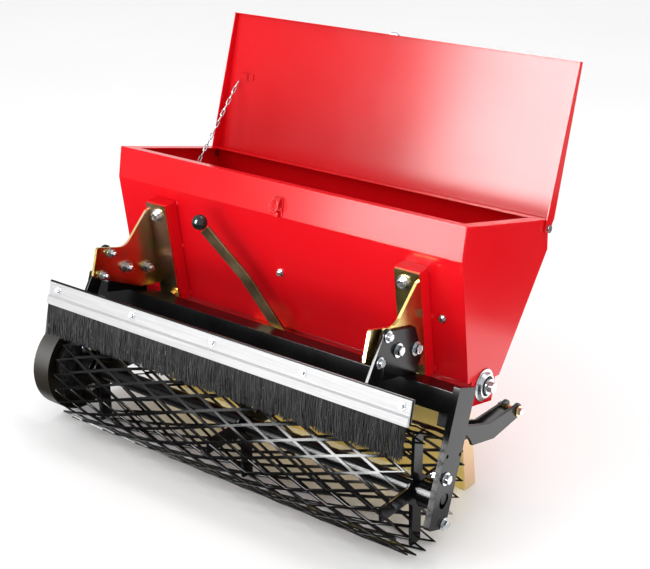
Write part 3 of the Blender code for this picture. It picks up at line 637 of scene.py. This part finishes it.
OUT = Vector((0, WALL_OUT.x, WALL_OUT.y))
M10, M8, M6 = 0.0165, 0.0130, 0.0100
LUG_BOLTS = ((-0.058, -0.217), (-0.002, -0.221))
LINK_BOLTS = ((-0.104, -0.187), (-0.118, -0.229))
for tag, side, plate, lug, link in (("left", -1, -0.2950, -0.3063, -0.3126),
                                    ("right", 1, 0.3270, 0.3383, 0.3446)):
    outward = Vector((side, 0, 0))
    bolts = []
    for y, z in LUG_BOLTS:
        bolts.append(hexagon("m10", (lug, y, z), outward, M10, 0.0068, 0.0022))
        bolts.append(hexagon("m10_nut", (plate, y, z), -outward, M10, 0.0088, 0.0022, 0.008))
    for y, z in LINK_BOLTS:
        bolts.append(hexagon("m8", (link, y, z), outward, M8, 0.0055, 0.0018))
        bolts.append(hexagon("m8_nut", (plate, y, z), -outward, M8, 0.0070, 0.0018, 0.007))
    group("bracket_bolts_" + tag, bolts, zinc_paint, "frame", "bright_zinc")

wall_bolts = [hexagon("pad_bolt", on_wall(x, 0.045, BRACKET_FRONT), OUT, M10, 0.0065, 0.0024)
              for x in (-0.2735, 0.3000)]
wall_bolts += [hexagon("wall_bolt", on_wall(x, 0.117, 0.0001), OUT, M6, 0.0042, 0.0016)
               for x in (-0.0016, 0.3536)]
group("wall_bolts", wall_bolts, zinc_paint, "frame", "bright_zinc")
pad_nut = hexagon("pad_nut", on_wall(-0.2580, 0.214, BRACKET_FRONT), OUT, M10, 0.0075, 0.0022)
group("pad_nut", [pad_nut], gold_plate, "frame", "yellow_zinc")


# ---------------------------------------------------------------- metering lever
# A flat yellow-zinc bar, bent once, that slides the shutter under the hopper.  It ends
# in a glossy black ball knob.
bronze = Finish("dark_yellow_zinc", Metallic=1.0)
tarnish = bronze.noise(20, 4)
bronze_finish = bronze.shade(
    Base_Color=bronze.ramp(tarnish, (0.3, (0.15, 0.115, 0.060)), (0.7, (0.30, 0.215, 0.120))),
    Roughness=tarnish * 0.20 + 0.22,
    Normal=bronze.bump(bronze.noise(500, 2), 0.10, 0.0001))
LEVER_WIDE = 0.0250
LEVER_THICK = 0.0055
BEND = 0.0115
BEND_SHARE = 0.52
lever_foot = Vector((0.008, 0.056, -0.2823))
lever_grip = Vector((-0.137, -0.026, -0.112))
along = (lever_grip - lever_foot).normalized()
wide = along.cross(OUT).normalized()
deep = wide.cross(along).normalized()
lever_bend = lever_foot.lerp(lever_grip, BEND_SHARE) + wide * math.copysign(BEND, wide.x)
clear_selection()
bpy.ops.mesh.primitive_cube_add(size=2)
lever = bpy.context.object
lever.name = "bent_lever"
bpy.ops.object.mode_set(mode="EDIT")
bpy.ops.mesh.subdivide(number_cuts=1)
bpy.ops.object.mode_set(mode="OBJECT")
for vertex in lever.data.vertices:
    centre = (lever_foot, lever_bend, lever_grip)[round(vertex.co.z) + 1]
    spot = centre + wide * vertex.co.x * LEVER_WIDE / 2 + deep * vertex.co.y * LEVER_THICK / 2
    if centre is lever_foot:
        run_up = (lever_bend - lever_foot).normalized()
        spot -= run_up * (spot.z - lever_foot.z) / run_up.z
    vertex.co = spot
round_edges(lever, 0.0007)
apply_all(lever)
face_outwards()
smooth(lever, 30)
settle(lever, bronze_finish, "frame", "yellow_zinc", "metering_lever")
soften("shutter_tab", gold_plate, 0.0005)
ball = Finish("black_phenolic", Specular_IOR_Level=0.4)
ball_finish = ball.shade(
    Base_Color=ball.ramp(ball.noise(40), (0.3, (0.006, 0.009, 0.009)),
                         (0.7, (0.012, 0.016, 0.016))),
    Roughness=ball.noise(90) * 0.08 + 0.06)
soften("lever_knob", ball_finish, 0)


# ---------------------------------------------------------------- roller frame
# Flat-bar side arms and an angle crossbar, welded and painted satin black.  Each arm
# has a slot for the axle and two spare holes.
AXLE_SLOT = (-0.0305, -0.4515, 0.0120, 1.12)
SPARE_HOLES = ((0.001, -0.375, 0.0035, 1), (-0.041, -0.371, 0.0035, 1))
ARM_THICK = 0.012
for tag, side, inner in (("left", -1, -0.404), ("right", 1, 0.440)):
    holes = []
    for y, z, radius, tall in (AXLE_SLOT, *SPARE_HOLES):
        clear_selection()
        bpy.ops.mesh.primitive_cylinder_add(vertices=24, radius=radius, depth=0.05,
                                            location=(inner + side * ARM_THICK / 2, y, z),
                                            rotation=(0, math.pi / 2, 0))
        drill = bpy.context.object
        drill.scale = (tall, 1, 1)
        bake_place(drill)
        drill.data.transform(park)
        drill.hide_render = True
        drill.hide_viewport = True
        holes.append(drill)
    soften("side_arm_" + tag, black_paint, 0.0009, 2, cutters=holes)
for node in ("crossbar", "brush_carrier", "hitch_bracket_left", "hitch_bracket_right"):
    soften(node, black_paint, 0.0009)
for node in ("roller_bearing_left", "roller_bearing_right"):
    soften(node, black_paint, 0.0015, 3)

for tag, side, face in (("left", -1, -0.416), ("right", 1, 0.452)):
    outward = Vector((side, 0, 0))
    inside = face - side * ARM_THICK
    fixings = []
    for y, z in ((-0.0355, -0.4105), (-0.0170, -0.4945)):
        fixings.append(hexagon("arm_bolt", (face, y, z), outward, 0.0150, 0.0062, 0.0022))
        fixings.append(hexagon("arm_nut", (inside, y, z), -outward, 0.0150, 0.0075, 0.0022, 0.006))
    group("arm_bolts_" + tag, fixings, zinc_paint, "frame", "bright_zinc")


# ---------------------------------------------------------------- hitch pins
# Shouldered bolts through the two cheeks, each with a yellow-zinc collar under its
# bright head.
HITCH_TIP = (0.214, -0.339)
COLLAR = 0.0034
ACROSS_MACHINE = (0, math.pi / 2, 0)
for tag, side, face, back in (("left", -1, -0.4037, -0.3737), ("right", 1, 0.4397, 0.4097)):
    outward = Vector((side, 0, 0))
    head_spot = (face + side * (COLLAR - 0.0002), *HITCH_TIP)
    group("hitch_bolt_" + tag,
          [hexagon("hitch_head", head_spot, outward, M8, 0.0050),
           hexagon("hitch_nut", (back, *HITCH_TIP), -outward, 0.0150, 0.0070, 0.0018)],
          zinc_paint, "frame", "bright_zinc")
    clear_selection()
    bpy.ops.mesh.primitive_cylinder_add(vertices=28, radius=0.0102, depth=COLLAR,
                                        location=(face + side * COLLAR / 2, *HITCH_TIP),
                                        rotation=ACROSS_MACHINE)
    collar = bpy.context.object
    bpy.ops.mesh.primitive_cylinder_add(vertices=24, radius=0.0060, depth=0.031,
                                        location=((face + back) / 2, *HITCH_TIP),
                                        rotation=ACROSS_MACHINE)
    shank = bpy.context.object
    for part in (collar, shank):
        round_edges(part, 0.0006)
        apply_all(part)
        smooth(part)
    group("hitch_collar_" + tag, [collar, shank], gold_plate, "frame", "yellow_zinc",
          "hitch_pin_" + tag)


# ---------------------------------------------------------------- brush
# An extruded aluminium holder screwed to a black flat bar grips a full-width strip of
# stiff black nylon bristles, cut slightly uneven and leaning a little to one side.
aluminium = Finish("mill_aluminium", Metallic=0.04, Specular_IOR_Level=0.12)
drawn = aluminium.noise(16, 4, stretch=(0.6, 30, 30))
holder_finish = aluminium.shade(
    Base_Color=aluminium.ramp(drawn, (0.3, (0.36, 0.36, 0.365)), (0.7, (0.45, 0.45, 0.455))),
    Roughness=drawn * 0.18 + 0.34,
    Normal=aluminium.bump(drawn, 0.10, 0.0002))
soften("brush_holder", holder_finish, 0.0005)

SCREWS_X = (-0.3745, -0.1770, 0.0190, 0.2200, 0.4180)
SCREW_FACE = (-0.1525, -0.2745)
screws = [hexagon("holder_screw", (x, *SCREW_FACE), (0, -1, 0), 0.0090, 0.0036, 0.0014)
          for x in SCREWS_X]
group("holder_screws", screws, zinc_paint, "frame", "bright_zinc")

nylon = Finish("black_bristle", Specular_IOR_Level=0.14)
strand_tone = nylon.noise(1, 2, stretch=(330, 60, 8))
bristle_finish = nylon.shade(
    Base_Color=nylon.ramp(strand_tone, (0.40, (0.0012, 0.0012, 0.0014)),
                          (0.70, (0.030, 0.030, 0.033))),
    Roughness=strand_tone * 0.25 + 0.32)
random.seed(7)
STRANDS = 3900
STRAND_RADIUS = 0.00047
STRAND_LENGTH = 0.0570
STRAND_LEAN = 0.0085
ROOT_Y, ROOT_Z = -0.1535, -0.3045
LEFT_END, RIGHT_END = -0.3965, 0.4325
bristles = bpy.data.curves.new("bristle_strands", "CURVE")
bristles.dimensions = "3D"
bristles.bevel_depth = STRAND_RADIUS
bristles.bevel_resolution = 0
bristles.use_fill_caps = True
for strand in range(STRANDS):
    share = (strand + random.random()) / STRANDS
    x = LEFT_END + (RIGHT_END - LEFT_END) * share
    clump = math.sin(x * 520) * 0.0012 + math.sin(x * 173) * 0.0016
    y = ROOT_Y - 0.0025 * random.random()
    length = STRAND_LENGTH + clump * 0.9 + random.uniform(-0.0070, 0.0012)
    drift_x = STRAND_LEAN + clump * 1.5 + random.gauss(0, 0.0034)
    drift_y = random.gauss(-0.0005, 0.0022)
    spline = bristles.splines.new("POLY")
    spline.points.add(3)
    for point, fall in zip(spline.points, (0, 0.35, 0.7, 1)):
        edge = min(1.0, (x - LEFT_END + 0.004) / 0.02, (RIGHT_END + 0.004 - x) / 0.02)
        point.co = (x + drift_x * fall ** 1.6 * edge, y + drift_y * fall ** 1.5 - 0.001 * fall,
                    ROOT_Z - length * fall, 1)
tufts = bpy.data.objects.new("bristle_strands", bristles)
bpy.context.scene.collection.objects.link(tufts)
take(tufts)
bpy.ops.object.convert(target="MESH")
tufts = bpy.context.object
settle(tufts, bristle_finish, "frame", "black_nylon", "brush_bristles")


# ---------------------------------------------------------------- cage roller
# Raised expanded steel rolled into a drum and welded to three four-armed spiders on a
# tube.  The strands stand on edge, as expanded metal's do, and end in open points.
CAGE_RADIUS = 0.1068
CAGE_LENGTH = 0.812
ROUND_COUNT = 22
HALF_DIAMONDS = 18
PITCH = 2 * math.pi * CAGE_RADIUS / ROUND_COUNT
HALF_LONG = CAGE_LENGTH / HALF_DIAMONDS
STRAND = 0.0026
TILT = 0.0009
CAGE_WALL = 0.0034
cells = []
for column, count in ((0, HALF_DIAMONDS // 2), (1, HALF_DIAMONDS // 2 - 1)):
    clear_selection()
    bpy.ops.mesh.primitive_circle_add(vertices=4, radius=1, fill_type="NGON",
                                      rotation=(math.pi / 2, 0, 0))
    cell = bpy.context.object
    cell.scale = (HALF_LONG, PITCH / 2, 1)
    bake_place(cell)
    bpy.ops.object.mode_set(mode="EDIT")
    bpy.ops.mesh.select_mode(type="FACE")
    bpy.ops.mesh.select_all(action="SELECT")
    bpy.ops.mesh.inset(thickness=STRAND)
    bpy.ops.mesh.delete(type="FACE")
    bpy.ops.object.mode_set(mode="OBJECT")
    rim = PITCH / 2 - STRAND * 0.5
    for vertex in cell.data.vertices:
        if abs(vertex.co.x) < 1e-6 and abs(vertex.co.z) < rim:
            vertex.co.y += math.copysign(TILT, vertex.co.z)
    cell.location = (HALF_LONG * (1 + column) - CAGE_LENGTH / 2, 0, PITCH / 2 * (1 + column))
    bake_place(cell)
    for name, step, times in (("along", (2 * HALF_LONG, 0, 0), count),
                              ("around", (0, 0, PITCH), ROUND_COUNT)):
        row = cell.modifiers.new(name, "ARRAY")
        row.use_relative_offset = False
        row.use_constant_offset = True
        row.constant_offset_displace = step
        row.count = times
    apply_all(cell)
    cells.append(cell)
cage = join(cells, "expanded_metal_cage")
for vertex in cage.data.vertices:
    angle = vertex.co.z / CAGE_RADIUS
    radius = CAGE_RADIUS + vertex.co.y
    vertex.co = (vertex.co.x, radius * math.sin(angle), -radius * math.cos(angle))
take(cage)
bpy.ops.object.mode_set(mode="EDIT")
bpy.ops.mesh.select_all(action="SELECT")
bpy.ops.mesh.remove_doubles(threshold=0.00008)
bpy.ops.mesh.normals_make_consistent(inside=False)
bpy.ops.object.mode_set(mode="OBJECT")
wall = cage.modifiers.new("wall", "SOLIDIFY")
wall.thickness = CAGE_WALL
wall.offset = 0
round_edges(cage, 0.0004, 1, 40)
apply_all(cage)
smooth(cage, 35)
cage.location = ROLLER_AXIS
settle(cage, black_paint, "roller", "black_paint", "roller_mesh")

for node in ("roller_spider_left", "roller_spider_middle", "roller_spider_right", "roller_tube"):
    soften(node, black_paint, 0.0012)


# ---------------------------------------------------------------- feed shaft and its bearings
# A bright steel shaft through the trough turns in pressed flange bearings on the end
# plates, each with a grease-blackened ring round the inner race.
steel = Finish("bare_steel", Metallic=1.0)
turned = steel.noise(12, 4, stretch=(60, 1, 1))
steel_finish = steel.shade(
    Base_Color=steel.ramp(turned, (0.3, (0.36, 0.35, 0.34)), (0.7, (0.52, 0.51, 0.50))),
    Roughness=turned * 0.25 + 0.24)
for node in ("feed_sprocket", "roller_sprocket", "drive_chain"):
    soften(node, steel_finish, 0.0005 if node != "drive_chain" else 0)
feed_joint = next(joint for joint in frame["joints"] if joint["name"] == "feed_spin")
FEED = park.inverted() @ Vector(feed_joint["pos_m"])
SHAFT_ENDS = 0.4225
around_shaft = [(FEED.y + y, FEED.z + z)
                for y, z in ((-0.02, -0.02), (-0.02, 0.02), (0.02, 0.02), (0.02, -0.02))]
shaft_end = parked(slab(around_shaft, SHAFT_ENDS, 0.46))
soften("feed_shaft", steel_finish, 0.0007, cutters=[shaft_end])
soften("feed_rotor", bristle_finish, 0.0006)
FLANGE_RADIUS, FLANGE_THICK = 0.0300, 0.0026
PRESSED_STEPS = ((0.0055, 0), (0.0012, 0.0040), (0.0012, 0.0030), (0.0035, 0), (0.0004, -0.0016),
                 (0.0035, 0), (0.0004, 0.0060))
END_PLATE = 0.4003
for tag, side in (("left", -1), ("right", 1)):
    outward = Matrix.Rotation(side * math.pi / 2, 4, "Y")
    clear_selection()
    bpy.ops.mesh.primitive_cylinder_add(vertices=40, radius=FLANGE_RADIUS, depth=FLANGE_THICK,
                                        location=(0, 0, FLANGE_THICK / 2))
    flange = bpy.context.object
    bake_place(flange)
    pick_top(flange)
    for inward, up in PRESSED_STEPS:
        bpy.ops.mesh.inset(thickness=inward, depth=up)
    bpy.ops.object.mode_set(mode="OBJECT")
    bpy.ops.mesh.primitive_cylinder_add(vertices=32, radius=0.0099, depth=0.06)
    bore = bpy.context.object
    hole = flange.modifiers.new("hole", "BOOLEAN")
    hole.operation = "DIFFERENCE"
    hole.solver = "EXACT"
    hole.object = bore
    round_edges(flange, 0.0005, 2, 25)
    apply_all(flange)
    bpy.data.objects.remove(bore)
    smooth(flange)
    clear_selection()
    bpy.ops.mesh.primitive_torus_add(major_radius=0.0166, minor_radius=0.0019, major_segments=40,
                                     minor_segments=8, location=(0, 0, 0.0080))
    seal = bpy.context.object
    bake_place(seal)
    smooth(seal, 60)
    for part in (flange, seal):
        part.data.transform(Matrix.Translation((side * END_PLATE, FEED.y, FEED.z)) @ outward)
    flange.name = "pressed_bearing_" + tag
    seal.name = "bearing_seal_" + tag
    settle(flange, zinc_paint, "frame", "bright_zinc", "shaft_bearing_" + tag)
    settle(seal, black_paint, "frame", "black_nylon")


# ---------------------------------------------------------------- seed chute
# A flat duct of yellow-zinc sheet under the trough that drops the seed behind the
# roller.  Its right end is plated a warmer, rosier tone.
ROSE_FROM = 0.3725
duct = Finish("fresh_yellow_zinc", Metallic=0.85)
sweep = duct.noise(3, 3)
across = duct.node("SeparateXYZ", {}, {0: duct.place}, "X")
straw = duct.ramp(sweep, (0.3, (0.62, 0.50, 0.12)), (0.55, (0.76, 0.60, 0.22)),
                  (0.75, (0.72, 0.46, 0.28)))
rose = duct.ramp(duct.noise(14, 3), (0.3, (0.80, 0.52, 0.36)), (0.7, (0.78, 0.60, 0.32)))
duct_finish = duct.shade(Base_Color=duct.mix(across > ROSE_FROM, straw, rose),
                         Roughness=sweep * 0.15 + 0.26,
                         Normal=duct.bump(duct.noise(300, 2), 0.08, 0.0001))
soften("seed_chute", duct_finish, 0.0008)


# ---------------------------------------------------------------- chain guard
# A pressed steel pan over the chain drive, satin black with a brown cast, bolted to
# the left arm.
guard = Finish("guard_paint", Specular_IOR_Level=0.3)
guard_grain = guard.noise(9, 4)
guard_finish = guard.shade(
    Base_Color=guard.ramp(guard_grain, (0.3, (0.013, 0.0105, 0.0075)),
                          (0.7, (0.024, 0.019, 0.013))),
    Roughness=guard_grain * 0.16 + 0.30,
    Normal=guard.bump(guard.noise(600, 2), 0.10, 0.0001))
soften("chain_guard", guard_finish, 0.0012, 3)
